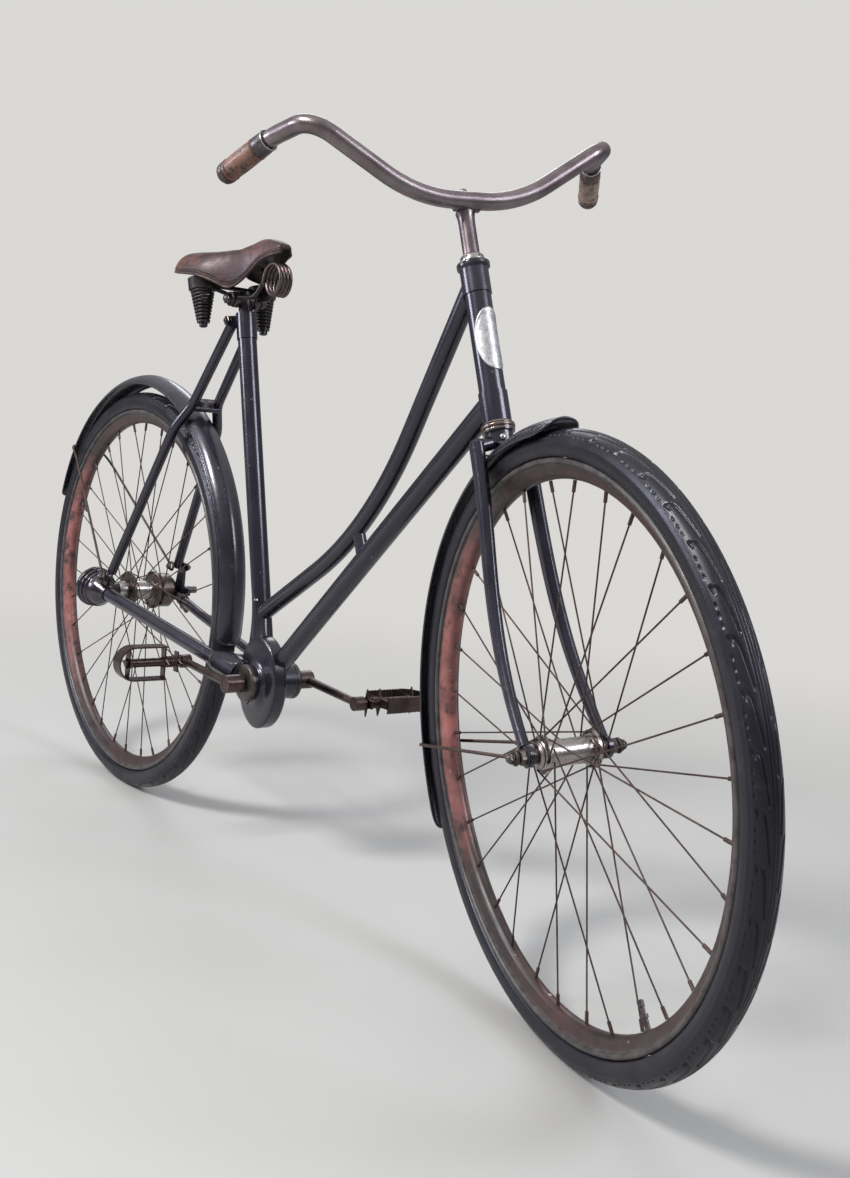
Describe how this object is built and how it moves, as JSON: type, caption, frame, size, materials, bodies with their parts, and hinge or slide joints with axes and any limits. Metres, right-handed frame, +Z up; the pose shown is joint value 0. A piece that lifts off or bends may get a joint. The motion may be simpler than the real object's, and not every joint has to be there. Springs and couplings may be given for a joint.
{
  "type": "lady's shaft-drive bicycle",
  "caption": "Old step-through bicycle with shaft drive: black enamelled frame, leather sprung saddle, swept handlebar, dark red rims and mudguards, with turning wheels, cranks and steering.",
  "frame": {"origin": "the rider's place on the saddle's top, on the bicycle's middle plane", "axes": "+X forward, +Y to the rider's left, +Z up"},
  "size_m": [1.858, 0.5315, 1.0844],
  "materials": {
    "black_enamel": "worn stove enamel, half gloss",
    "worn_nickel": "aged nickel plate with brown patina",
    "rusty_steel": "dull steel with brown rust",
    "red_rim_paint": "old dark red paint",
    "tyre_rubber": "black rubber",
    "saddle_hide": "dark brown worn hide",
    "grip_cork": "brown worn grip"
  },
  "bodies": {
    "frame": {"head_tube": "black_enamel", "top_tube": "black_enamel", "down_tube": "black_enamel", "frame_brace": "black_enamel", "seat_tube": "black_enamel", "gear_case": "black_enamel", "shaft_tube": "black_enamel", "rear_gear_case": "black_enamel", "left_fork_end": "black_enamel", "left_chain_stay": "black_enamel", "seat_stay_right": "black_enamel", "seat_stay_left": "black_enamel", "stay_bridge": "black_enamel", "rear_mudguard": "black_enamel", "rear_mudguard_stays": "rusty_steel", "rear_axle": "worn_nickel", "seat_post": "rusty_steel", "saddle_frame": "rusty_steel", "saddle_rear_springs": "rusty_steel", "saddle_nose_spring": "rusty_steel", "saddle_leather": "saddle_hide"},
    "steering": {"fork": "black_enamel", "lock_nut": "worn_nickel", "stem": "worn_nickel", "handlebar": "worn_nickel", "grip_right": "grip_cork", "grip_left": "grip_cork", "front_mudguard": "black_enamel", "front_mudguard_stays": "rusty_steel", "front_axle": "worn_nickel"},
    "front_wheel": {"front_tyre": "tyre_rubber", "front_rim": "red_rim_paint", "front_spokes": "rusty_steel", "front_hub": "worn_nickel"},
    "rear_wheel": {"rear_tyre": "tyre_rubber", "rear_rim": "red_rim_paint", "rear_spokes": "rusty_steel", "rear_hub": "worn_nickel"},
    "cranks": {"crank_axle": "worn_nickel", "crank_right": "worn_nickel", "crank_left": "worn_nickel"},
    "pedal_turn_right": {"pedal_right": "rusty_steel"},
    "pedal_turn_left": {"pedal_left": "rusty_steel"}
  },
  "joints": [
    {"name": "steering_turn", "type": "hinge", "parent": "frame", "child": "steering", "pos_m": [0.81112, 0, -0.60419], "axis": [-0.3676, 0, 0.93], "range_deg": [-50.67, 79.33]},
    {"name": "front_wheel_spin", "type": "hinge", "parent": "steering", "child": "front_wheel", "pos_m": [0.85325, -0.01157, -0.58753], "axis": [0.2302, 0.9689, 0.091], "continuous": true},
    {"name": "rear_wheel_spin", "type": "hinge", "parent": "frame", "child": "rear_wheel", "pos_m": [-0.3, 0, -0.587], "axis": [0, 1, 0], "continuous": true},
    {"name": "crank_spin", "type": "hinge", "parent": "frame", "child": "cranks", "pos_m": [0.185, 0, -0.653], "axis": [0, 1, 0], "continuous": true},
    {"name": "pedal_right_spin", "type": "hinge", "parent": "cranks", "child": "pedal_turn_right", "pos_m": [0.03909, -0.064, -0.6479], "axis": [0, 1, 0], "continuous": true},
    {"name": "pedal_left_spin", "type": "hinge", "parent": "cranks", "child": "pedal_turn_left", "pos_m": [0.33091, 0.064, -0.6581], "axis": [0, 1, 0], "continuous": true}
  ]
}
